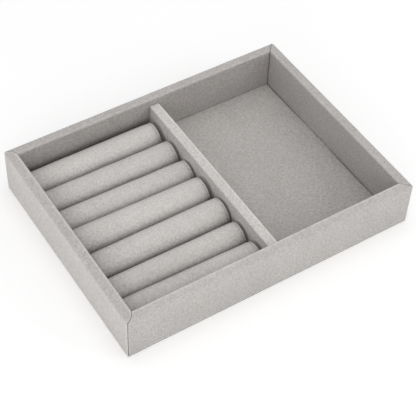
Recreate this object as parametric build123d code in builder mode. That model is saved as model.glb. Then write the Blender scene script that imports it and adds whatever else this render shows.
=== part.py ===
from build123d import *
import os

# A stackable tray for jewellery: four fabric-wrapped walls mitred round a base board, a lower wrapped
# divider, a lined floor in each compartment, and a row of ring rolls in the left compartment.
# The rolls are loose foam bars in fabric sleeves, and each one lifts straight out.
# Millimetres. +X runs along the long front wall, +Y from the front to the back, +Z up.
# The origin is the centre of the underside.

# Outside of the tray
tray_length = 240.0
tray_width = 182.0
tray_height = 38.8

# Walls: a board with eased edges, wrapped in fabric
wall_board_thickness = 6.0
wall_cover_thickness = 0.7
wall_board_outer_edge_radius = 0.6
wall_board_inner_edge_radius = 0.3
wall_board_bottom_edge_radius = 0.4
wall_board_corner_radius = 0.8

# Underside: the base board between the walls, and the sheet glued over it and the hems
base_board_thickness = 2.0
liner_thickness = 0.5
liner_inset = 3.0

# Divider: a wrapped board, lower than the walls and a little right of the middle
divider_board_thickness = 6.8
divider_cover_thickness = 0.7
divider_board_edge_radius = 0.3
divider_drop = 5.3
divider_shift = 3.8
divider_end_gap = 0.3

# Floor pads: a thin card under fabric that is folded down over its four edges
pad_card_thickness = 1.0
pad_card_corner_radius = 0.8
pad_cover_thickness = 0.6
pad_fold_radius = 0.5
pad_gap = 0.5

# Ring rolls, counted from the front: a foam bar in a closed fabric sleeve, flat where it rests
roll_diameter_shares = (1.023, 0.939, 1.055, 1.077, 0.941, 0.969, 0.996)
roll_stagger_shares = (-0.1, 0.3, 0.5, -0.5, 0.8, 0.1, -1.0)
roll_stagger = 1.0
roll_end_clearance = 0.65
roll_front_clearance = 1.1
roll_back_clearance = 3.6
roll_clearance = 0.25
roll_flat_depth = 0.3
roll_end_crown = 0.6
sleeve_thickness = 0.8
foam_end_radius = 1.0
foam_clearance = 0.05

# How far a cutting shape runs past what it cuts
cut_overrun = 2.0

# Levels and spans that follow from the sizes above
wall_thickness = wall_board_thickness + 2 * wall_cover_thickness
inner_length = tray_length - 2 * wall_thickness
inner_width = tray_width - 2 * wall_thickness
base_top = liner_thickness + base_board_thickness
pad_top = base_top + pad_card_thickness + pad_cover_thickness
divider_thickness = divider_board_thickness + 2 * divider_cover_thickness
divider_left = divider_shift - divider_thickness / 2
divider_right = divider_shift + divider_thickness / 2
divider_top = tray_height - divider_drop

os.makedirs("parts", exist_ok=True)


def save(piece, name):
    """Labels a finished piece and writes its STEP file."""
    piece.part.label = name
    export_step(piece.part, f"parts/{name}.step")


# Underside

with BuildPart() as underside_liner:
    with BuildSketch():
        Rectangle(tray_length - 2 * liner_inset, tray_width - 2 * liner_inset)
    extrude(amount=liner_thickness)
save(underside_liner, "underside_liner")

with BuildPart() as base_board:
    with BuildSketch(Plane.XY.offset(liner_thickness)):
        Rectangle(inner_length + 2 * wall_cover_thickness, inner_width + 2 * wall_cover_thickness)
    extrude(amount=base_board_thickness)
save(base_board, "base_board")


# Walls

def wall_corners(inset):
    """A wall's cross-section less an inset all round; x is measured inward from its outside."""
    return (
        (inset, liner_thickness + inset),
        (inset, tray_height - inset),
        (wall_thickness - inset, tray_height - inset),
        (wall_thickness - inset, liner_thickness + inset),
    )


def mitred_plan(plan, span, across, inset, corner_radius):
    """A wall's plan between two 45 degree mitres, rounded to the tray's corners less the inset."""
    with BuildSketch(plan) as region:
        with Locations((0, across / 2)):
            RectangleRounded(span - 2 * inset, across - 2 * inset, corner_radius)
        with BuildLine():
            Polyline(
                (-span / 2 - cut_overrun, -cut_overrun),
                (span / 2 + cut_overrun, -cut_overrun),
                (span / 2 - wall_thickness - cut_overrun, wall_thickness + cut_overrun),
                (wall_thickness + cut_overrun - span / 2, wall_thickness + cut_overrun),
                close=True,
            )
        make_face(mode=Mode.INTERSECT)
    return region.sketch


def wall(side, span, across, turn):
    """Makes one wall, span long, whose outside face looks along -Y before it turns about Z."""
    turned = Plane.XY.rotated((0, 0, turn))
    plan = Plane(turned.from_local_coords((0, -across / 2, 0)), x_dir=turned.x_dir)
    section = Plane(plan.origin, x_dir=plan.y_dir, z_dir=plan.x_dir)
    board_radii = (
        wall_board_bottom_edge_radius,
        wall_board_outer_edge_radius,
        wall_board_inner_edge_radius,
        0,
    )
    cover_radii = [radius and radius + wall_cover_thickness for radius in board_radii]
    board_plan = mitred_plan(plan, span, across, wall_cover_thickness, wall_board_corner_radius)
    cover_plan = mitred_plan(plan, span, across, 0, wall_board_corner_radius + wall_cover_thickness)

    with BuildPart() as board:
        with BuildSketch(section):
            with BuildLine():
                FilletPolyline(*wall_corners(wall_cover_thickness), radius=board_radii, close=True)
            make_face()
        extrude(amount=span / 2, both=True)
        extrude(board_plan, amount=tray_height + cut_overrun, mode=Mode.INTERSECT)
    save(board, f"{side}_wall_board")

    # The fabric starts under the board, runs up the outside and over the rim, and ends on the base board.
    with BuildPart() as cover:
        with BuildSketch(section):
            with BuildLine():
                FilletPolyline(*wall_corners(0), radius=cover_radii, close=True)
            make_face()
            with BuildLine():
                FilletPolyline(*wall_corners(wall_cover_thickness), radius=board_radii, close=True)
            make_face(mode=Mode.SUBTRACT)
            with Locations((wall_thickness, liner_thickness)):
                Rectangle(
                    wall_cover_thickness,
                    base_board_thickness,
                    align=(Align.MAX, Align.MIN),
                    mode=Mode.SUBTRACT,
                )
        extrude(amount=span / 2, both=True)
        extrude(cover_plan, amount=tray_height + cut_overrun, mode=Mode.INTERSECT)
    save(cover, f"{side}_wall_cover")


wall("front", tray_length, tray_width, 0)
wall("right", tray_width, tray_length, 90)
wall("back", tray_length, tray_width, 180)
wall("left", tray_width, tray_length, 270)


# Divider

def divider_corners(inset):
    """The divider's cross-section less an inset at its sides and top, standing on the base board."""
    half = divider_thickness / 2 - inset
    return (
        (divider_shift - half, base_top),
        (divider_shift - half, divider_top - inset),
        (divider_shift + half, divider_top - inset),
        (divider_shift + half, base_top),
    )


divider_length = inner_width - 2 * divider_end_gap
board_radii = (0, divider_board_edge_radius, divider_board_edge_radius, 0)
cover_radii = [radius and radius + divider_cover_thickness for radius in board_radii]

with BuildPart() as divider_board:
    with BuildSketch(Plane.XZ):
        with BuildLine():
            FilletPolyline(
                *divider_corners(divider_cover_thickness), radius=board_radii, close=True
            )
        make_face()
    extrude(amount=divider_length / 2 - divider_cover_thickness, both=True)
save(divider_board, "divider_board")

with BuildPart() as divider_cover:
    with BuildSketch(Plane.XZ):
        with BuildLine():
            FilletPolyline(*divider_corners(0), radius=cover_radii, close=True)
        make_face()
    extrude(amount=divider_length / 2, both=True)
    add(divider_board.part, mode=Mode.SUBTRACT)
save(divider_cover, "divider_cover")


# Floor pads

def floor_pad(compartment, left, right):
    """Makes the card and the cover of the pad that lines a compartment from left to right."""
    centre = ((left + right) / 2, 0)
    card_length = right - left - 2 * (pad_gap + pad_cover_thickness)
    card_width = inner_width - 2 * (pad_gap + pad_cover_thickness)

    with BuildPart() as card:
        with BuildSketch(Plane.XY.offset(base_top)):
            with Locations(centre):
                RectangleRounded(card_length, card_width, pad_card_corner_radius)
        extrude(amount=pad_card_thickness)
    save(card, f"{compartment}_pad_card")

    with BuildPart() as cover:
        with BuildSketch(Plane.XY.offset(base_top)):
            with Locations(centre):
                RectangleRounded(
                    card_length + 2 * pad_cover_thickness,
                    card_width + 2 * pad_cover_thickness,
                    pad_card_corner_radius + pad_cover_thickness,
                )
        extrude(amount=pad_top - base_top)
        fillet(cover.faces().sort_by(Axis.Z)[-1].edges(), pad_fold_radius)
        add(card.part, mode=Mode.SUBTRACT)
    save(cover, f"{compartment}_pad_cover")


floor_pad("ring", -inner_length / 2, divider_left)
floor_pad("open", divider_right, inner_length / 2)


# Ring rolls

def round_bar(axis_plane, length, radius, end_radius, seat):
    """A bar along the plane's x axis, with domed and eased ends, cut flat at the height of its seat."""
    with BuildPart() as bar:
        with BuildSketch(axis_plane) as half_section:
            shoulder = length / 2 - roll_end_crown
            with BuildLine():
                side = Line((-shoulder, radius), (shoulder, radius))
                right = TangentArc((length / 2, 0), side @ 1, tangent=(0, 1))
                left = TangentArc((-length / 2, 0), side @ 0, tangent=(0, 1))
                Line(left @ 0, right @ 0)
            make_face()
            fillet(half_section.vertices().group_by(Axis.Y)[-1], end_radius)
        revolve(axis=Axis(axis_plane.origin, axis_plane.x_dir))
        split(bisect_by=Plane.XY.offset(seat), keep=Keep.TOP)
    return bar.part


roll_count = len(roll_diameter_shares)
roll_room = (
    inner_width - roll_front_clearance - roll_back_clearance - (roll_count - 1) * roll_clearance
)
roll_compartment_middle = (divider_left - inner_length / 2) / 2
roll_length = divider_left + inner_length / 2 - 2 * (roll_end_clearance + roll_stagger)
front_edge = roll_front_clearance - inner_width / 2

for number in range(roll_count):
    radius = roll_room * roll_diameter_shares[number] / sum(roll_diameter_shares) / 2
    middle = roll_compartment_middle + roll_stagger * roll_stagger_shares[number]
    axis_height = pad_top - roll_flat_depth + radius
    roll_axis = Plane((middle, front_edge + radius, axis_height), x_dir=(1, 0, 0), z_dir=(0, -1, 0))
    foam_inset = sleeve_thickness + foam_clearance

    with BuildPart() as foam:
        add(
            round_bar(
                roll_axis,
                roll_length - 2 * foam_inset,
                radius - foam_inset,
                foam_end_radius,
                pad_top + foam_inset,
            )
        )
    save(foam, f"ring_roll_foam_{number + 1}")

    with BuildPart() as sleeve:
        add(round_bar(roll_axis, roll_length, radius, foam_end_radius + foam_inset, pad_top))
        add(
            round_bar(
                roll_axis,
                roll_length - 2 * sleeve_thickness,
                radius - sleeve_thickness,
                foam_end_radius + foam_clearance,
                pad_top + sleeve_thickness,
            ),
            mode=Mode.SUBTRACT,
        )
    save(sleeve, f"ring_roll_sleeve_{number + 1}")

    front_edge += 2 * radius + roll_clearance
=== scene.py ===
import math

import bmesh
import bpy
import numpy as np
from mathutils import Euler, Matrix, Vector


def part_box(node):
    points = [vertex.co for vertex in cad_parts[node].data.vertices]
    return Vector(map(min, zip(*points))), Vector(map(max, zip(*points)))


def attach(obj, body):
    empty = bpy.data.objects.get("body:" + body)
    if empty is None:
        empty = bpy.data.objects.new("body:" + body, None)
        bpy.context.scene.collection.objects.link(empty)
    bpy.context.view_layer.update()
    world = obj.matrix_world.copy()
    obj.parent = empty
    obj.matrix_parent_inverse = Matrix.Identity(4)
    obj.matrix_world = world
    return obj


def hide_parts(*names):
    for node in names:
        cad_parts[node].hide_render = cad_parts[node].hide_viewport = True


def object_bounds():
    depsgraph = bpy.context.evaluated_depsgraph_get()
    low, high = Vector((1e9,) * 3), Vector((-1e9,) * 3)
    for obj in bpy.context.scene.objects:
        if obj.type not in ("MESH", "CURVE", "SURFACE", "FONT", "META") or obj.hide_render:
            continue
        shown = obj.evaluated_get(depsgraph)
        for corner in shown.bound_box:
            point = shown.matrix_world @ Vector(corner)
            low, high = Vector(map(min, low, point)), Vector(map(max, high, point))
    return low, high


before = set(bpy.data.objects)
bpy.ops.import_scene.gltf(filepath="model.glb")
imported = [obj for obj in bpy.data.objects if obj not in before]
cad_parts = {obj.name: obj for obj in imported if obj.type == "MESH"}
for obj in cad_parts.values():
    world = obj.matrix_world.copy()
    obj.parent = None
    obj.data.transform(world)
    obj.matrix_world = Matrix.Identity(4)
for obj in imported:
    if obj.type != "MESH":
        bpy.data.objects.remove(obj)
cad_low, cad_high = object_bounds()
mm = 0.001

# Boards
# The stiff parts are grey fibreboard: four mitred wall boards with eased edges, the base board that
# they are glued round, and the divider board. Pressed fibres show on their faces and sawn edges.


class Wire:
    """One socket of a node tree. Arithmetic on a wire adds Math nodes, and add() makes any other node."""

    def __init__(self, tree, socket=None):
        self.tree = tree
        self.socket = socket

    def add(self, kind, settings=(), inputs=(), output=0):
        """A node of that kind: its settings come first, then its sockets' values or links."""
        made = self.tree.nodes.new(kind)
        for name, value in dict(settings).items():
            setattr(made, name, value)
        for name, value in dict(inputs).items():
            if isinstance(value, Wire):
                self.tree.links.new(value.socket, made.inputs[name])
            else:
                made.inputs[name].default_value = value
        return Wire(self.tree, made.outputs[output] if len(made.outputs) else None)

    def math(self, operation, *values):
        return self.add("ShaderNodeMath", {"operation": operation}, enumerate(values))

    def __add__(self, other):
        return self.math("ADD", self, other)

    __radd__ = __add__

    def __sub__(self, other):
        return self.math("SUBTRACT", self, other)

    def __rsub__(self, other):
        return self.math("SUBTRACT", other, self)

    def __mul__(self, other):
        return self.math("MULTIPLY", self, other)

    __rmul__ = __mul__

    def clamped(self):
        """This value, held between 0 and 1."""
        return self.add("ShaderNodeClamp", (), {"Value": self})

    def between(self, first, second):
        """The colour that lies this far, from 0 to 1, on the way from the first colour to the second."""
        inputs = {0: self, 6: (*first, 1), 7: (*second, 1)}
        return self.add("ShaderNodeMix", {"data_type": "RGBA"}, inputs, 2)

    def stretched(self, *scale):
        """These coordinates, scaled along X, Y and Z."""
        return self.add("ShaderNodeMapping", {"vector_type": "POINT"}, {"Vector": self, "Scale": scale})

    def noise(self, feature, detail=1.0):
        """Soft noise about 0, with blots about one feature across, in metres."""
        inputs = {"Vector": self, "Scale": 1 / feature, "Detail": detail}
        return self.add("ShaderNodeTexNoise", (), inputs) - 0.5


def new_finish(name):
    """An empty material, and its object coordinates, which are metres in the tray's own frame."""
    material = bpy.data.materials.new(name)
    material.use_nodes = True
    material.node_tree.nodes.clear()
    place = Wire(material.node_tree).add("ShaderNodeTexCoord", output="Object")
    return material, place


def close_finish(place, colour, roughness, height, depth, constants=()):
    """Ends a material in a Principled surface, whose bump is a height of about -1 to 1 times a depth,
    and whose other sockets get constants."""
    bump = place.add("ShaderNodeBump", (), {"Distance": depth, "Height": height}, "Normal")
    inputs = {"Base Color": colour, "Roughness": roughness, "Normal": bump, **dict(constants)}
    surface = place.add("ShaderNodeBsdfPrincipled", (), inputs)
    place.add("ShaderNodeOutputMaterial", (), {"Surface": surface})


thread_squeeze = 0.12
upright_squeeze = 0.3
patch_fibres = 12
thread_contrast = 0.9
patch_contrast = 1.2
board_roughness = 0.86


def pressed_fibre(name, dark, light, fibre, depth):
    """Pressed fibre: noise one fibre across, drawn out along X, along Y and a little along Z, over cloudy
    patches. The shade is a weighted sum of both, the roughness follows the patches, the bump the fibres."""
    material, place = new_finish(name)
    along = place.stretched(thread_squeeze, 1, 1).noise(fibre)
    across = place.stretched(1, thread_squeeze, 1).noise(fibre)
    upright = place.stretched(1, 1, upright_squeeze).noise(fibre)
    patches = place.noise(patch_fibres * fibre, 2)
    threads = along + across + upright
    shade = (0.5 + thread_contrast * threads + patch_contrast * patches).clamped()
    roughness = board_roughness + 0.2 * patches
    close_finish(place, shade.between(dark, light), roughness, threads, depth)
    return material


board_dark = (0.16, 0.145, 0.125)
board_light = (0.33, 0.305, 0.27)
board_fibre = 0.7 * mm
board_relief = 0.06 * mm
fibreboard = pressed_fibre("fibreboard", board_dark, board_light, board_fibre, board_relief)
wall_names = ("front", "right", "back", "left")
for board in ("base_board", "divider_board", *(f"{side}_wall_board" for side in wall_names)):
    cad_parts[board].material_slots[0].material = fibreboard

# Wall covers
# Each wall board is wrapped in one strip of grey microsuede, glued from its hem up the outside, over the
# rim and down the inside. At the corners the strips are turned in along the mitre, which leaves a narrow
# groove, darkened with painted shade. The side strips lap over the others, and round the rolls the
# inside is darker low down, painted shade behind the rolls.


def rounded_path(corners, radii, step, arc_steps=8):
    """A line that turns left at its corners and rounds each to its radius, with the normal on its right.
    A run's points are its start plus shares of its length, about a step apart. An arc's points are its
    centre plus its radius times a normal, which turns from one run's normal to the next one's."""
    corners = np.array(corners, float)
    headings = np.diff(corners, axis=0)
    lengths = np.linalg.norm(headings, axis=1)
    headings = headings / lengths[:, None]
    normals = np.stack([headings[:, 1], -headings[:, 0]], axis=1)
    turns = np.arccos(np.clip((headings[:-1] * headings[1:]).sum(1), -1, 1))
    trims = np.concatenate([[0], np.array(radii) * np.tan(turns / 2), [0]])
    points = []
    outward = []
    for k in range(len(headings)):
        run = lengths[k] - trims[k] - trims[k + 1]
        reach = trims[k] + np.linspace(0, run, max(2, round(run / step)) + 1)
        points.append(corners[k] + reach[:, None] * headings[k])
        outward.append(np.tile(normals[k], (len(reach), 1)))
        if k < len(radii):
            angle = np.linspace(0, turns[k], arc_steps + 1)[1:-1, None]
            turned = normals[k] * np.cos(angle) + headings[k] * np.sin(angle)
            centre = corners[k + 1] - trims[k + 1] * headings[k] - radii[k] * normals[k]
            points.append(centre + radii[k] * turned)
            outward.append(turned)
    return np.concatenate(points), np.concatenate(outward)


def ripple(points, wavelength, seed):
    """Gentle unevenness of about -1 to 1: the mean, doubled, of eight sine waves in seeded directions."""
    draw = np.random.default_rng(seed)
    directions = draw.normal(size=(8, 3))
    directions = directions / np.linalg.norm(directions, axis=1)[:, None]
    phases = draw.uniform(0, 2 * np.pi, 8)
    waves = np.sin(points @ directions.T * (2 * np.pi / wavelength) + phases)
    return 2 * waves.mean(axis=-1)


def numbered_quads(layer):
    """A layer's point numbers by row and column, and the quads between neighbours, four numbers each."""
    index = np.arange(layer[..., 0].size).reshape(layer.shape[:2])
    quads = np.stack([index[:-1, :-1], index[:-1, 1:], index[1:, 1:], index[1:, :-1]], axis=-1)
    return index, quads.reshape(-1, 4)


merge_distance = 0.002 * mm
sharp_angle = math.radians(50)


def closed_piece(name, points, faces, nap_and_shading=0):
    """A smooth piece of points and faces, whose coincident points are merged, so that it is closed.
    Its nap and shading value, per point, is partly the way its fibres lie and partly painted light and
    shade."""
    mesh = bpy.data.meshes.new(name)
    mesh.from_pydata(points.reshape(-1, 3).tolist(), [], faces.tolist())
    point_shading = np.broadcast_to(nap_and_shading, points.shape[:-1]).astype(np.float32)
    mesh.attributes.new("nap_and_shading", "FLOAT", "POINT").data.foreach_set("value", point_shading.ravel())
    merged = bmesh.new()
    merged.from_mesh(mesh)
    bmesh.ops.remove_doubles(merged, verts=merged.verts, dist=merge_distance)
    merged.to_mesh(mesh)
    merged.free()
    mesh.shade_smooth()
    mesh.set_sharp_from_angle(angle=sharp_angle)
    piece = bpy.data.objects.new(name, mesh)
    bpy.context.scene.collection.objects.link(piece)
    return piece


def cloth(name, outside, inside, nap_and_shading=0, hemmed_ends=True):
    """Closed cloth from two layers of points, each an array of rows, columns and X, Y and Z in metres.
    A layer's faces join its neighbouring points, with the outside where a column turns to a row by the
    right hand. Hems join the layers along the first and last columns, and rows if the ends are hemmed."""
    index, quads = numbered_quads(outside)
    faces = [quads, quads[:, ::-1] + index.size]
    ends = [index[0], index[-1, ::-1]] if hemmed_ends else []
    for edge in ends + [index[:, -1], index[::-1, 0]]:
        hem = [edge[1:], edge[:-1], edge[:-1] + index.size, edge[1:] + index.size]
        faces.append(np.stack(hem, axis=-1))
    return closed_piece(name, np.stack([outside, inside]), np.concatenate(faces), nap_and_shading)


darkest_shading = -0.65
lightest_shading = 0.5
fibre_size = 0.3 * mm
grain_size = 0.9 * mm
blot_size = 1.9 * mm
brush_size = 24 * mm
brush_stretch = (1, 0.6, 0.8)
suede_relief = 0.12 * mm


def suede(name, colour, contrast=1.0):
    """Microsuede in a colour: short brushed fibres with a fine grain, small blots where the nap lies
    this way or that, slow brush marks, and a pale sheen at a glancing angle. The shade runs from the
    darkest value to the lightest: the piece's own nap and shading value, which holds painted light and
    shade as well as the nap, plus a contrast times a weighted sum of the noises."""
    material, place = new_finish(name)
    fibres = place.noise(fibre_size)
    grain = place.noise(grain_size)
    blots = place.noise(blot_size)
    brushed = place.stretched(*brush_stretch).noise(brush_size, 2)
    point_shading = place.add("ShaderNodeAttribute", {"attribute_name": "nap_and_shading"}, (), "Fac")
    change = point_shading + contrast * (0.22 * fibres + 0.50 * grain + 0.46 * blots + 0.18 * brushed)
    shade = (change - darkest_shading) * (1 / (lightest_shading - darkest_shading))
    dark = [(1 + darkest_shading) * value for value in colour]
    light = [(1 + lightest_shading) * value for value in colour]
    height = 0.3 * fibres + 0.8 * grain + 1.2 * blots
    roughness = (0.93 - 0.25 * blots).clamped()
    sheen = {"Sheen Weight": 0.1, "Sheen Roughness": 0.45, "Specular IOR Level": 0.2}
    close_finish(place, shade.clamped().between(dark, light), roughness, height, suede_relief, sheen)
    return material


def lay(piece, material, body, slot, *nodes):
    """Gives a piece its material, the body that it rides on, and the nodes that it replaces. The slot is
    not used.
    """
    piece.data.materials.append(material)
    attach(piece, body)
    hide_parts(*nodes)


fold_steps = 7


def turned_rows(length, fold, step):
    """Rows along a strip whose ends are turned in to a fold: each row's share of the length, and how
    deep it lies. On the fold, a quarter turn from the end, the depth is the fold less its sine."""
    angle = np.linspace(0, np.pi / 2, fold_steps + 1)[:-1]
    near = fold * (1 - np.cos(angle))
    sunk = fold * (1 - np.sin(angle))
    middle = np.linspace(fold, length - fold, round((length - 2 * fold) / step))
    share = np.concatenate([near, middle, (length - near)[::-1]]) / length
    depth = np.concatenate([sunk, 0 * middle, sunk[::-1]])
    return share, depth


cover_low, cover_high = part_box("front_wall_cover")
cloth_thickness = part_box("front_wall_board")[0].y - cover_low.y
wall_thickness = cover_high.y - cover_low.y
rim_height = cover_high.z
hem_level = cover_low.z
base_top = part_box("base_board")[1].z
rim_outer_radius = 1.3 * mm
rim_inner_radius = 1.0 * mm
hem_radius = 1.1 * mm
section_step = 1.0 * mm
row_step = 1.5 * mm
cover_unevenness = 0.05 * mm
cover_wavelength = 17 * mm
outer_loft = 0.25 * mm
inner_loft = 0.4 * mm
loft_start = 8 * mm
loft_reach = 20 * mm
hem_loft = 0.2 * mm
hem_drop = 0.38 * mm
hem_drop_height = 4 * mm
hem_drop_edge = 2.7 * mm
hem_drop_slope = 1.5 * mm
bow_points = 60
corner_laps = (0.2 * mm, 0.5 * mm, 1.3 * mm, 0.8 * mm)
seam_half_gap = 0.14 * mm
outer_half_gap = 0.10 * mm
# Tones of each strip's rim, outside and inside: partly nap direction, partly painted light; the darker
# inside is painted shade.
rim_nap_and_light = (0.13, 0.03, 0.03, 0.08)
outer_nap_and_light = (-0.01, 0.03, 0.03, 0.14)
inner_nap_and_shade = (-0.09, -0.07, -0.11, -0.09)
# Painted shade on the outside near the floor.
foot_shade = -0.11
# Painted highlight along each strip's inner rim edge.
inner_edge_highlights = (0.24, 0.06, 0.06, 0.24)
inner_edge_width = 0.7 * mm
# Painted highlight on the folds at the strip ends.
fold_highlights = (0.04, 0.04, 0.04, 0.22)
fold_width = 1.0 * mm
# Painted shade in the corner grooves, strongest on the outside.
groove_shade = -0.36
outer_groove_shade = -0.9
# Painted shade low on the inside, behind the rolls.
roll_foot_shade = -0.5
roll_shade_height = 21 * mm
roll_shade_reach = 7.5 * mm
wall_suede = suede("wall_suede", (0.52, 0.497, 0.48))


def corner_distance(inward, lap):
    """How far a strip's end is from the tray's corner, at each distance inward from its outside.
    On a plain mitre it is that same distance and half the seam's gap, which is wider on the outside. A
    lap bows the seam by a half sine wave across the rim."""
    across = np.linspace(0, wall_thickness, bow_points)
    bow = lap * np.sin(np.pi * across / wall_thickness)
    half_gap = seam_half_gap + outer_half_gap * np.exp(-((inward / rim_outer_radius) ** 2))
    return inward - 2 * np.interp(inward, across + bow, bow) + half_gap


def wall_cover(side, turn, span, across, laps, seed):
    """One strip: the wall's section carried along the wall between its mitres, then turned about Z.
    The outside layer is lofted off the board: by one amount outside, by one that rises with the height
    inside, by none underneath, and a little more round the hem's edge, by the product of the parts of
    its direction. That edge also hangs lower, nearly to the floor. The nap and shading value goes from
    the outside's to the rim's and the inside's with the square of the way it faces: tones that are partly
    nap direction and partly painted light, with the inside darker as painted shade of the compartment.
    The outside darkens evenly towards its foot, painted shade near the floor, and left of the tray's
    middle the inside is darker low down, painted shade behind the rolls. Painted highlights run along
    the inner rim edge and the folds at the strip ends, and painted shade lies in the corner grooves."""
    section, outward = rounded_path(
        [
            (wall_thickness, base_top),
            (wall_thickness, rim_height),
            (0, rim_height),
            (0, hem_level),
            (wall_thickness - cloth_thickness, hem_level),
        ],
        [rim_inner_radius, rim_outer_radius, hem_radius],
        section_step,
    )
    share, depth = turned_rows(span, cloth_thickness, row_step)

    def layer(offset, drop):
        inward = section[:, 0] + offset * outward[:, 0]
        height = section[:, 1] + offset * outward[:, 1] - drop
        left = corner_distance(inward, laps[0]) - span / 2
        right = span / 2 - corner_distance(inward, laps[1])
        along = left + (right - left) * share[:, None]
        flat = np.stack([along, inward - across / 2, height + 0 * along], axis=-1)
        turned = np.array(Matrix.Rotation(math.radians(turn), 3, "Z"))
        return flat @ turned.T

    share_in = np.clip(section[:, 0] / wall_thickness, 0, 1)
    risen = np.clip((section[:, 1] - loft_start) / loft_reach, 0, 1)
    loft = outer_loft + (inner_loft * risen - outer_loft) * share_in
    loft *= 1 + np.minimum(outward[:, 1], 0)
    loft += 2 * hem_loft * np.minimum(outward, 0).prod(axis=1)
    low_down = np.clip(1 - (section[:, 1] - hem_level) / hem_drop_height, 0, 1)
    drop = hem_drop * low_down * np.clip((hem_drop_edge - section[:, 0]) / hem_drop_slope, 0, 1)
    unfolded = (1 - depth / cloth_thickness)[:, None]
    inside = layer(-cloth_thickness + 0 * unfolded, 0)
    swell = cover_unevenness * ripple(inside, cover_wavelength, seed) + loft
    outside = layer(swell * unfolded - depth[:, None], drop * unfolded)
    facing_in = np.clip(outward[:, 0], 0, 1) ** 2
    facing_out = np.clip(-outward[:, 0], 0, 1) ** 2
    # Painted shade: the outside darkens towards its foot, near the floor.
    outer_shading = outer_nap_and_light[seed] + foot_shade * (1 - section[:, 1] / rim_height)
    # Per-face tones, partly nap direction and partly painted light; the darker inside is painted shade.
    nap_and_shading = rim_nap_and_light[seed] + (inner_nap_and_shade[seed] - rim_nap_and_light[seed]) * facing_in
    nap_and_shading = nap_and_shading + (outer_shading - rim_nap_and_light[seed]) * facing_out
    # Painted highlight along the inner rim edge.
    on_edge = np.exp(-(((section[:, 0] - wall_thickness) / inner_edge_width + 1) ** 2))
    nap_and_shading = nap_and_shading + inner_edge_highlights[seed] * on_edge * (outward[:, 1] > 0)
    # Painted shade low on the inside left of the middle, behind the rolls.
    roll_shaded = np.clip((roll_shade_height - section[:, 1]) / roll_shade_reach, 0, 1) * (outside[..., 0] < 0)
    nap_and_shading = nap_and_shading + roll_foot_shade * facing_in * roll_shaded
    end_distance = span * np.minimum(share, 1 - share)[:, None]
    in_groove = np.clip(2 * depth / cloth_thickness - 1, 0, 1)[:, None]
    # Painted highlight on the folds near the strip ends.
    nap_and_shading = nap_and_shading + fold_highlights[seed] * np.exp(-((end_distance / fold_width) ** 2))
    # Painted shade in the corner groove.
    nap_and_shading = nap_and_shading + (groove_shade + outer_groove_shade * facing_out) * in_groove
    piece = cloth(f"{side}_wall_fabric", outside, inside, nap_and_shading)
    lay(piece, wall_suede, "tray", "wall_fabric", f"{side}_wall_cover")


tray_length = cad_high.x - cad_low.x
tray_width = cad_high.y - cad_low.y
for number, side in enumerate(wall_names):
    lengthwise = side in ("front", "back")
    span, across = (tray_length, tray_width) if lengthwise else (tray_width, tray_length)
    lap_sign = -1 if lengthwise else 1
    laps = (lap_sign * corner_laps[number - 1], lap_sign * corner_laps[number])
    wall_cover(side, 90 * number, span, across, laps, number)

# Underside sheet
# One thin sheet of the same cloth is glued under the tray over the base board and the hems of the
# walls. It is cut a little smaller than the tray, and its cut edge is slightly soft and uneven.

sheet_low, sheet_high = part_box("underside_liner")
sheet_span = sheet_high - sheet_low
cut_unevenness = 0.12 * mm
cut_wavelength = 9 * mm
cut_softness = 0.2 * mm
cut_rim_share = 0.004
sheet_points = 121
sheet_sag = 0.04 * mm
least_sag_share = 0.05
sheet_wavelength = 30 * mm
cut_seed = 31
sag_seed = 32
sheet_share = np.concatenate([[0], np.linspace(cut_rim_share, 1 - cut_rim_share, sheet_points), [1]])
sheet_x, sheet_y = np.meshgrid(sheet_share, sheet_share)
cut_edge = np.minimum.reduce([sheet_x, 1 - sheet_x, sheet_y, 1 - sheet_y]) == 0
flat_points = np.stack([sheet_x * sheet_span.x, sheet_y * sheet_span.y, 0 * sheet_x], axis=-1)
flat_points += np.array([sheet_low.x, sheet_low.y, 0])
wander = cut_unevenness * (1 + ripple(flat_points, cut_wavelength, cut_seed)) / 2 * cut_edge
flat_points[..., 0] -= wander * np.sign(flat_points[..., 0])
flat_points[..., 1] -= wander * np.sign(flat_points[..., 1])
sheet_top = flat_points + np.array([0, 0, 1]) * (sheet_high.z - cut_softness * cut_edge)[..., None]
sheet_ripple = ripple(flat_points, sheet_wavelength, sag_seed)
sheet_wave = sheet_sag * np.clip((1 + sheet_ripple) / 2, least_sag_share, 1)
sheet_wave += cut_softness / 2 * cut_edge
sheet_bottom = flat_points + np.array([0, 0, 1]) * (sheet_low.z + sheet_wave)[..., None]
underside = cloth("underside_fabric", sheet_top, sheet_bottom)
underside_suede = suede("underside_suede", (0.40, 0.385, 0.37))
lay(underside, underside_suede, "tray", "underside_liner", "underside_liner")

# Divider cover
# The divider board is wrapped in the same microsuede before it is stood on the base board. The strip
# runs up one face, over the top and down the other, and is folded closed round both ends. Its top is
# lighter and its sides darker, partly nap and partly painted light and shade; its ends carry painted
# shade where they meet the walls, and a painted highlight runs along its right top edge. On the left
# face, painted shadows lie behind the ring rolls' ends, with painted light just round them.

divider_low, divider_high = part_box("divider_cover")
divider_middle = (divider_low.x + divider_high.x) / 2
divider_half = (divider_high.x - divider_low.x) / 2
divider_edge_radius = 1.0 * mm
divider_end_fold = 0.9 * mm
divider_end_inset = 0.2 * mm
# Painted shade on the divider's ends, where they meet the walls.
divider_end_shade = -0.40
# Painted light on the top and painted shade on the sides, partly nap direction.
divider_top_nap_and_light = 0.06
divider_side_nap_and_shade = -0.035
# Painted highlight along the right top edge.
divider_edge_highlight = 0.24
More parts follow.
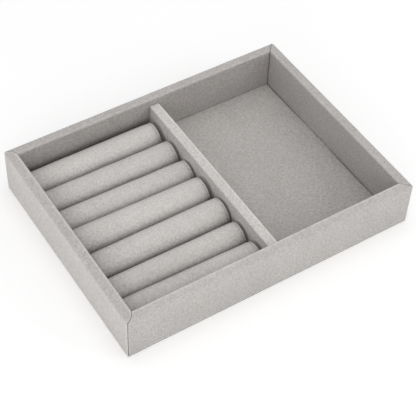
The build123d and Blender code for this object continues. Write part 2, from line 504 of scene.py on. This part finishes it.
# Painted shadow behind the rolls' ends on the left face, and painted light round it.
roll_end_shadow = -0.36
roll_end_shadow_softness = 0.5 * mm
roll_end_shadow_inset = 1.3 * mm
roll_end_light = 0.34
roll_end_light_reach = 2.0 * mm
roll_count = 7
divider_section_step = 0.7 * mm
divider_row_step = 0.8 * mm
divider_seed = 41
edge_share = 0.9
end_face_rows = np.array([0, 0.35, 0.7])


def divider_layer(inset):
    """The divider's section, up its right face and down its left, carried from the back to the front.
    At each end the section shrinks by a quarter turn, and then it closes on its own middle line."""
    section, outward = rounded_path(
        [
            (divider_high.x, divider_low.z),
            (divider_high.x, divider_high.z),
            (divider_low.x, divider_high.z),
            (divider_low.x, divider_low.z),
        ],
        [divider_edge_radius, divider_edge_radius],
        divider_section_step,
    )
    fold = divider_end_fold - inset
    length = divider_high.y - divider_low.y - 2 * (divider_end_inset + inset)
    share, depth = turned_rows(length, fold, divider_row_step)
    side = section - (inset + depth[:, None, None]) * outward
    closing_height = np.minimum(section[:, 1], divider_high.z - divider_half)
    closing = np.stack([divider_middle + 0 * closing_height, closing_height], axis=-1)
    back_face = closing + end_face_rows[:, None, None] * (side[0] - closing)
    rows = np.concatenate([back_face, side, back_face[::-1]])
    beyond = 0 * end_face_rows
    share = np.concatenate([beyond, share, beyond + 1])
    y = divider_high.y - divider_end_inset - inset - share * length
    return np.stack([rows[..., 0], y[:, None] + 0 * rows[..., 0], rows[..., 1]], axis=-1)


divider_inside = divider_layer(cloth_thickness)
divider_outside = divider_layer(0)
divider_swell = cover_unevenness * ripple(divider_outside, cover_wavelength, divider_seed)
divider_outside[..., 0] += divider_swell * np.sign(divider_outside[..., 0] - divider_middle)
from_middle = np.abs(divider_outside[..., 0] - divider_middle)
divider_side = np.clip((from_middle - divider_half) / divider_edge_radius + 1, 0, 1)
divider_turn = np.exp(-((((divider_outside[..., 0] - divider_high.x) / inner_edge_width) + 1) ** 2))
# Painted light on the top and painted shade on the sides, partly nap direction.
divider_shading = divider_top_nap_and_light + (divider_side_nap_and_shade - divider_top_nap_and_light) * divider_side**2
# Painted highlight along the right top edge.
divider_shading += divider_edge_highlight * divider_turn * (divider_side < edge_share)
# Painted shade on the ends, where they meet the walls.
divider_reach = divider_high.y - divider_end_inset - np.abs(divider_outside[..., 1])
divider_shading += divider_end_shade * np.clip(1 - 2 * divider_reach / divider_end_fold, 0, 1)
# Painted shadow behind each roll's end on the left face, and painted light just round it.
roll_distance = np.full(divider_shading.shape, np.inf)
for number in range(1, roll_count + 1):
    low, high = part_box(f"ring_roll_sleeve_{number}")
    radius = (high.y - low.y) / 2
    aside = divider_outside[..., 1] - (low.y + high.y) / 2
    above = divider_outside[..., 2] - (high.z - radius)
    roll_distance = np.minimum(roll_distance, np.hypot(aside, above) - radius + roll_end_shadow_inset)
roll_side = divider_outside[..., 0] < divider_middle
divider_shading += roll_end_shadow * np.clip(0.5 - roll_distance / roll_end_shadow_softness, 0, 1) * roll_side
divider_shading += roll_end_light * np.exp(-np.maximum(roll_distance, 0) / roll_end_light_reach) * roll_side
divider = cloth("divider_fabric", divider_outside, divider_inside, divider_shading, hemmed_ends=False)
divider_suede = suede("divider_suede", (0.648, 0.62, 0.60))
lay(divider, divider_suede, "tray", "divider_fabric", "divider_cover")

# Floor pads
# Each compartment has a glued floor: a thin grey card under microsuede, which is folded down over the
# card's four edges. A dark gap is left round the pad, narrow at the back and uneven along the right.
# The pad darkens towards its edges and towards the front, painted shade of the walls.

card_dark = (0.24, 0.232, 0.22)
card_light = (0.42, 0.405, 0.385)
card_fibre = 0.4 * mm
card_relief = 0.03 * mm
greyboard = pressed_fibre("greyboard", card_dark, card_light, card_fibre, card_relief)
pad_fold_radius = 0.5 * mm
pad_corner_radius = 1.4 * mm
pad_unevenness = 0.05 * mm
pad_wavelength = 26 * mm
pad_seed = 51
pad_flat_share = 0.96
pad_fold_share = 0.6
pad_flat_points = 91
pad_edge_points = 11
smallest_fold = 0.01 * mm
# Painted shade: the pad darkens towards the walls and towards the front wall.
pad_edge_shade = -0.14
pad_edge_shade_reach = 16 * mm
pad_slope_shade = 0.10
pad_give = 3.0 * mm
pad_back_shift = 0.35 * mm
pad_right_shift = -0.05 * mm
pad_wave_depth = 0.40 * mm
pad_wave_length = 108 * mm
pad_wave_start = -36 * mm


def pad_layer(low, high, inset):
    """A pad's top, fold and skirt on one square grid, whose square rings become the pad's outlines.
    A ring inside the flat share is the fold's inner outline, shrunk. Past it the outline moves out by
    the fold radius times a sine while it sinks by the radius less a cosine, and then it drops to the
    base. Returns the points, and which of them lie on the flat top."""
    inner = pad_flat_share * np.sin(np.linspace(-np.pi / 2, np.pi / 2, pad_flat_points))
    outer = np.linspace(pad_flat_share, 1, pad_edge_points)[1:]
    steps = np.concatenate([-outer[::-1], inner, outer])
    s, t = np.meshgrid(steps, steps)
    ring = np.maximum(np.abs(s), np.abs(t))
    square = np.stack([s, t], axis=-1) / np.maximum(ring, 1e-9)[..., None]
    half = np.array([high.x - low.x, high.y - low.y]) / 2 - inset
    corner = pad_corner_radius - inset
    fold = max(pad_fold_radius - inset, smallest_fold)
    core = np.clip(square * half, corner - half, half - corner)
    normal = square * half - core
    normal = normal / np.maximum(np.linalg.norm(normal, axis=-1), 1e-9)[..., None]
    past_flat = np.clip((ring - pad_flat_share) / (1 - pad_flat_share), 0, 1)
    angle = np.pi / 2 * np.clip(past_flat / pad_fold_share, 0, 1)
    drop = np.clip((past_flat - pad_fold_share) / (1 - pad_fold_share), 0, 1)
    shrink = np.clip(ring / pad_flat_share, 0, 1)[..., None]
    plan = shrink * (core + (corner - fold) * normal) + (fold * np.sin(angle))[..., None] * normal
    top = high.z - inset
    height = top - fold * (1 - np.cos(angle)) - drop * (top - fold - low.z)
    middle = np.array([low.x + high.x, low.y + high.y]) / 2
    return np.concatenate([middle + plan, height[..., None]], axis=-1), past_flat == 0


def settled(points, high):
    """A pad's points once it is glued in: its back edge is pushed close to the wall, and its right edge
    is a little wavy, by a cosine. The last few millimetres of the pad give, in proportion."""
    near_right = np.clip(1 - (high.x - points[..., 0]) / pad_give, 0, 1)
    near_back = np.clip(1 - (high.y - points[..., 1]) / pad_give, 0, 1)
    wave = np.cos(2 * np.pi * (points[..., 1] - pad_wave_start) / pad_wave_length)
    right_shift = pad_right_shift - pad_wave_depth * wave
    shift = np.stack([near_right * right_shift, near_back * pad_back_shift, 0 * wave], axis=-1)
    return points + shift


pad_suede = suede("pad_suede", (0.545, 0.521, 0.503))
for number, compartment in enumerate(("ring", "open")):
    low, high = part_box(f"{compartment}_pad_cover")
    card_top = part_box(f"{compartment}_pad_card")[1].z
    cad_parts[f"{compartment}_pad_card"].material_slots[0].material = greyboard
    pad_inside, _ = pad_layer(low, high, high.z - card_top)
    pad_outside, flat_part = pad_layer(low, high, 0)
    pad_ripple = ripple(pad_outside, pad_wavelength, pad_seed + number)
    pad_outside[..., 2] += pad_unevenness * pad_ripple * flat_part
    reach = np.minimum(pad_outside - np.array(low), np.array(high) - pad_outside)[..., :2].min(axis=-1)
    # Painted shade towards the walls, and darker towards the front.
    pad_shading = pad_edge_shade * np.exp(-reach / pad_edge_shade_reach)
    pad_shading += pad_slope_shade * pad_outside[..., 1] / high.y
    pad_layers = settled(pad_outside, high), settled(pad_inside, high)
    pad = cloth(f"{compartment}_pad_fabric", *pad_layers, pad_shading)
    lay(pad, pad_suede, "tray", "pad_fabric", f"{compartment}_pad_cover")

# Foam bars
# Inside each ring roll is a bar of soft grey foam with open pores, cut a little shorter than its sleeve
# and slightly rounded at the ends. It is a little flat underneath, where the roll rests on the pad.

foam_dark = (0.20, 0.20, 0.205)
foam_light = (0.62, 0.62, 0.625)
pores_per_metre = 0.7 / mm
pore_depth = 0.3 * mm
foam_patch = 5 * mm
foam, foam_place = new_finish("foam")
pore_inputs = {"Vector": foam_place, "Scale": pores_per_metre, "Randomness": 1.0}
pores = foam_place.add("ShaderNodeTexVoronoi", {"feature": "SMOOTH_F1"}, pore_inputs)
foam_patches = foam_place.noise(foam_patch, 2)
foam_shade = (1.3 * pores + 0.6 * foam_patches).clamped()
foam_colour = foam_shade.between(foam_dark, foam_light)
close_finish(foam_place, foam_colour, 0.95 - 0.2 * foam_patches, pores, pore_depth)
foam_end_radius = 1.0 * mm
foam_end_inset = 0.6 * mm
foam_step = 1.5 * mm
foam_unevenness = 0.04 * mm
foam_wavelength = 4 * mm
foam_seed = 60
foam_crown = 0.6 * mm
roll_tapers = [share * mm for share in (0.30, -0.16, -0.20, 0.27, 0.12, -0.14, -0.17)]
roll_skews = [share * mm for share in (0.45, 0.59, 0.22, 0.29, 0.68, 0.65, 0.34)]
steps_around = 120
around = np.linspace(0, 2 * np.pi, steps_around + 1)


def roll_surface(low, high, end_radius, end_crown, step):
    """A bar's side and domed ends: half its outline, turned about its axis in steps. The outline runs
    from one end's middle to the other's, and each end swells by its crown times one less the square of
    the share of the radius. Returns the points and their outward directions."""
    length = high.x - low.x
    radius = (high.y - low.y) / 2
    shoulder = length / 2 - end_crown
    outline, outward = rounded_path(
        [(shoulder, 0), (shoulder, radius), (-shoulder, radius), (-shoulder, 0)],
        [end_radius, end_radius],
        step,
    )
    outline = outline[::-1]
    outward = outward[::-1]
    share = outline[:, 1] / radius
    x = outline[:, 0] + np.sign(outline[:, 0]) * end_crown * (1 - share**2)
    ring = np.stack([0 * around, np.sin(around), np.cos(around)], axis=-1)[:, None]
    lengthwise = np.array([1, 0, 0])
    middle = np.array([(low.x + high.x) / 2, (low.y + high.y) / 2, high.z - radius])
    points = middle + x[:, None] * lengthwise + outline[:, 1:] * ring
    directions = outward[:, :1] * lengthwise + outward[:, 1:] * ring
    return points, directions


def bedded(points, low, high, number):
    """A bar's points as it lies in the row: turned a little askew, and thicker towards one end. Each
    section is scaled about the line it rests on, and moved to the back by its share of the skew."""
    share = (low.x + high.x - 2 * points[..., 0]) / (high.x - low.x)
    scale = 1 + share * roll_tapers[number - 1] / ((high.y - low.y) / 2)
    middle = (low.y + high.y) / 2
    y = middle + (points[..., 1] - middle) * scale + share * roll_skews[number - 1]
    z = low.z + (points[..., 2] - low.z) * scale
    return np.stack([points[..., 0], y, np.maximum(z, low.z)], axis=-1)


for number in range(1, roll_count + 1):
    low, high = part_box(f"ring_roll_foam_{number}")
    low.x += foam_end_inset
    high.x -= foam_end_inset
    points, directions = roll_surface(low, high, foam_end_radius, foam_crown, foam_step)
    swell = foam_unevenness * (ripple(points, foam_wavelength, foam_seed + number) - 1) / 2
    points = bedded(points + swell[..., None] * directions, low, high, number)
    piece = closed_piece(f"ring_roll_{number}_foam", points, numbered_quads(points)[1])
    lay(piece, foam, f"ring_roll_{number}", "foam", f"ring_roll_foam_{number}")

# Ring roll sleeves
# Each foam bar is drawn tight in a closed sleeve of microsuede, and presses it out a little. The cloth
# is tucked in at both ends, which leaves fine puckers just before the edge and shallow pleats that
# fade towards the middle of the end. A glued lap runs along the underside, towards the back.

sleeve_end_insets = (0.3 * mm, 1.0 * mm)
sleeve_end_radius = 0.9 * mm
sleeve_crown = 0.25 * mm
sleeve_step = 0.9 * mm
sleeve_slack = 0.2 * mm
spare_cloth = 0.016
foam_pressure = 400
furthest_move = 0.35 * mm
blow_frames = 20
blow_quality = 3
tucked_facing = 0.5
sleeve_unevenness = 0.10 * mm
sleeve_wavelength = 24 * mm
sleeve_seed = 80
even_reach = 3 * mm
pucker_depth = 0.10 * mm
pucker_length = 1.4 * mm
pucker_wavelength = 2.6 * mm
pucker_stretch = np.array([0.4, 1, 1])
pucker_seed = 70
cinch_depth = 0.12 * mm
cinch_place = 1.9 * mm
cinch_width = 0.7 * mm
# Painted shade in the cinch.
cinch_shade = -0.14
cinch_share = 0.9
pleat_depth = 0.40 * mm
# Painted shade in the pleat valleys.
pleat_shade = -0.24
pleat_count = 15
pleat_wander = 0.9
pleat_end_share = 0.95
pleat_fade_share = 0.25
end_face_reach = 1.2 * mm
lap_angle = math.radians(140)
lap_width = math.radians(4)
lap_depth = 0.22 * mm
lap_share = 0.99
roll_suede = suede("roll_suede", (0.655, 0.627, 0.606), 0.8)
roll_naps = (-0.04, 0.0, 0.02, 0.04, 0.0, 0.0, 0.04)
# Painted shade down the rolls' sides, back and front foot, and painted shadow towards both ends.
side_shade = -0.34
side_start = math.radians(42)
side_limit = 1.3
front_foot_shade = -0.18
front_foot_start = math.radians(55)
front_foot_turn = math.radians(25)
back_shade = -0.26
back_start = math.radians(22)
back_turn = math.radians(35)
left_end_shadow = -0.34
left_end_reach = 11 * mm
right_end_shade = -0.12
right_end_front_shade = -0.24
right_end_reach = 5 * mm
# Painted shade on the end faces.
end_face_shade = -0.18
# Painted highlight round the end faces' edge.
end_edge_highlight = 0.12


def mesh_values(items, name, width):
    """A number of values for each item of a mesh, as an array."""
    values = np.empty(len(items) * width, np.float32)
    items.foreach_get(name, values)
    return values.reshape(-1, width).astype(float)


sleeves = []
for number in range(1, roll_count + 1):
    low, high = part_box(f"ring_roll_sleeve_{number}")
    low.x += sleeve_end_insets[0]
    high.x -= sleeve_end_insets[1]
    points, directions = roll_surface(low, high, sleeve_end_radius, sleeve_crown, sleeve_step)
    points = points - sleeve_slack * directions
    sleeve = closed_piece(f"ring_roll_{number}_sleeve", points, numbered_quads(points)[1])
    lay(sleeve, roll_suede, f"ring_roll_{number}", "roll_fabric", f"ring_roll_sleeve_{number}")
    facing = mesh_values(sleeve.data.vertex_normals, "vector", 3)
    tucked = sleeve.vertex_groups.new(name="tucked")
    tucked.add(np.flatnonzero(np.abs(facing[:, 0]) > tucked_facing).tolist(), 1.0, "REPLACE")
    blown = sleeve.modifiers.new("blown", "CLOTH")
    blown.settings.quality = blow_quality
    blown.settings.use_pressure = True
    blown.settings.uniform_pressure_force = foam_pressure
    blown.settings.shrink_min = -spare_cloth
    blown.settings.vertex_group_mass = "tucked"
    blown.settings.effector_weights.gravity = 0
    blown.collision_settings.use_collision = False
    blown.point_cache.frame_end = blow_frames
    sleeves.append(sleeve)

for frame_number in range(1, blow_frames + 1):
    bpy.context.scene.frame_set(frame_number)
blown_shapes = bpy.context.evaluated_depsgraph_get()

# Each point moves along its own direction by a sum: how far the foam pressed it, within limits, slow
# unevenness and puckers by sine waves, less a bell across the cinch, cosine pleats on the end faces and
# a bell along the lap. Angles are measured about the roll's axis, from the top towards the back.
for number, sleeve in enumerate(sleeves, 1):
    low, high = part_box(f"ring_roll_sleeve_{number}")
    radius = (high.y - low.y) / 2
    start = mesh_values(sleeve.data.vertices, "co", 3)
    facing = mesh_values(sleeve.data.vertex_normals, "vector", 3)
    moved = mesh_values(sleeve.evaluated_get(blown_shapes).data.vertices, "co", 3) - start
    aside = start[:, 1] - (low.y + high.y) / 2
    above = start[:, 2] - (high.z - radius)
    angle = np.arctan2(aside, above)
    share = np.hypot(aside, above) / (radius - sleeve_slack)
    from_left = start[:, 0] - low.x - sleeve_end_insets[0] - sleeve_slack
    from_right = high.x - start[:, 0] - sleeve_end_insets[1] - sleeve_slack
    from_end = np.minimum(from_left, from_right)
    near_end = np.exp(-(((from_end - cinch_place) / pucker_length) ** 2))
    cinch = np.exp(-(((from_end - cinch_place) / cinch_width) ** 2)) * (share > cinch_share)
    puckers = ripple(start * pucker_stretch, pucker_wavelength, pucker_seed + number)
    wandering = pleat_count * angle + pleat_wander * np.sin(3 * angle + number)
    pleats = (0.5 + 0.5 * np.cos(wandering)) ** 2
    pleats *= np.clip((pleat_end_share - share) / pleat_fade_share, 0, 1)
    end_face = share * np.exp(-((from_end / end_face_reach) ** 2))
    lap = np.exp(-(((angle - lap_angle) / lap_width) ** 2)) * (share > lap_share)
    swell = np.clip((moved * facing).sum(axis=1), -furthest_move, furthest_move)
    uneven = ripple(start, sleeve_wavelength, sleeve_seed + number)
    swell += sleeve_unevenness * uneven * np.clip(from_end / even_reach, 0, 1)
    swell += pucker_depth * puckers * near_end - cinch_depth * cinch
    swell -= pleat_depth * pleats * end_face + lap_depth * lap
    points = bedded(start + swell[:, None] * facing, low, high, number)
    sleeve.modifiers.clear()
    sleeve.vertex_groups.clear()
    sleeve.data.vertices.foreach_set("co", points.astype(np.float32).ravel())

    # Painted shade: the cloth darkens evenly down both sides into the valleys, more at the back and the
    # front foot, and by an exponential towards both ends, painted shadow of the left wall and the divider.
    # The end faces get their own painted shade, darker in the pleats, the cinch is darkened as painted
    # shade, and a painted highlight runs round the end faces' edge.
    nap_and_shading = roll_naps[number - 1] + cinch_shade * cinch
    nap_and_shading += side_shade * np.clip((np.abs(angle) - side_start) / (math.pi / 2 - side_start), 0, side_limit)
    nap_and_shading += back_shade * np.clip((angle - back_start) / back_turn, 0, 1)
    nap_and_shading += front_foot_shade * np.clip((-angle - front_foot_start) / front_foot_turn, 0, 1)
    nap_and_shading += left_end_shadow * np.exp(-from_left / left_end_reach)
    right_end = right_end_shade + right_end_front_shade * np.clip(-angle / side_start, 0, 1)
    nap_and_shading += right_end * np.exp(-from_right / right_end_reach)
    facing_end = facing[:, 0] ** 2
    # Painted shade on the end faces, darker in the pleats.
    nap_and_shading += (end_face_shade + pleat_shade * pleats * share - nap_and_shading) * facing_end**2
    # Painted highlight round the end faces' edge.
    nap_and_shading += 4 * end_edge_highlight * facing_end * (1 - facing_end)
    sleeve.data.attributes["nap_and_shading"].data.foreach_set("value", nap_and_shading.astype(np.float32))
    sleeve.data.update()
bpy.context.scene.frame_set(1)

# Studio
# The tray stands on a plain pale floor under an even white sky, with three large soft lamps: overhead,
# front left and front right. The floor is white to the camera, and keeps the tray's soft shadow.

floor_half = 2.0
lit_paper_colour = (0.9, 0.9, 0.9, 1)
lit_paper_glow = 0.42
white_paper_glow = 0.185
floor_mesh = bpy.data.meshes.new("floor")
floor_corners = [(-1, -1, 0), (1, -1, 0), (1, 1, 0), (-1, 1, 0)]
floor_mesh.from_pydata([[floor_half * c for c in corner] for corner in floor_corners], [], [(0, 1, 2, 3)])
floor = bpy.data.objects.new("floor", floor_mesh)
bpy.context.scene.collection.objects.link(floor)
paper = bpy.data.materials.new("paper")
paper.use_nodes = True
paper.node_tree.nodes.clear()
sight = Wire(paper.node_tree)
rays = sight.add("ShaderNodeLightPath", output="Is Camera Ray")
glossy_rays = sight.add("ShaderNodeLightPath", output="Is Glossy Ray")
seen = rays.math("MAXIMUM", rays, glossy_rays)
lit_paper = sight.add("ShaderNodeBsdfDiffuse", (), {"Color": lit_paper_colour})
lit_glow = sight.add("ShaderNodeEmission", (), {"Color": (1, 1, 1, 1), "Strength": lit_paper_glow})
lit = sight.add("ShaderNodeAddShader", (), {0: lit_paper, 1: lit_glow})
shadowed = sight.add("ShaderNodeBsdfDiffuse", (), {"Color": (1, 1, 1, 1)})
glow = sight.add("ShaderNodeEmission", (), {"Color": (1, 1, 1, 1), "Strength": white_paper_glow})
white = sight.add("ShaderNodeAddShader", (), {0: shadowed, 1: glow})
surface = sight.add("ShaderNodeMixShader", (), {0: seen, 1: lit, 2: white})
sight.add("ShaderNodeOutputMaterial", (), {"Surface": surface})
floor_mesh.materials.append(paper)

sky = bpy.data.worlds.new("sky")
bpy.context.scene.world = sky
sky.use_nodes = True
sky.node_tree.nodes.clear()
air = Wire(sky.node_tree)
sky_light = 0.645
seen_sky = air.add("ShaderNodeLightPath", output="Is Camera Ray")
strength = sky_light + (1 - sky_light) * seen_sky
background = air.add("ShaderNodeBackground", (), {"Color": (1, 1, 1, 1), "Strength": strength})
air.add("ShaderNodeOutputWorld", (), {"Surface": background})

lamp_distance = 1.15
lamp_width = 0.7
lamp_settings = (
    ("overhead", 0, 0, 1.75),
    ("front_left", 65, 225, 1.35),
    ("front_right", 65, 315, 1.2),
)
for name, tilt, heading, power in lamp_settings:
    lamp_data = bpy.data.lights.new(name, "AREA")
    lamp_data.shape = "DISK"
    lamp_data.size = lamp_width
    lamp_data.energy = power
    lamp = bpy.data.objects.new(name, lamp_data)
    bpy.context.scene.collection.objects.link(lamp)
    aim = Euler((0, math.radians(tilt), math.radians(heading)))
    lamp.rotation_euler = aim
    lamp.location = aim.to_matrix() @ Vector((0, 0, lamp_distance))

# The camera looks down from the front left through a long lens, as in the photograph.
camera_data = bpy.data.cameras.new("camera")
camera = bpy.data.objects.new("camera", camera_data)
bpy.context.scene.collection.objects.link(camera)
camera_place = (-0.34763, -0.51138, 0.69813)
camera_elevation = math.radians(48.654)
camera_heading = math.radians(-34.367)
camera_roll = math.radians(2.702)
camera_data.sensor_width = 36
camera_data.lens = 106.68
camera.location = camera_place
level = Euler((math.pi / 2 - camera_elevation, 0, camera_heading)).to_matrix()
camera.rotation_euler = (level @ Matrix.Rotation(camera_roll, 3, "Z")).to_euler()
bpy.context.scene.camera = camera
bpy.context.scene.view_settings.view_transform = "Standard"
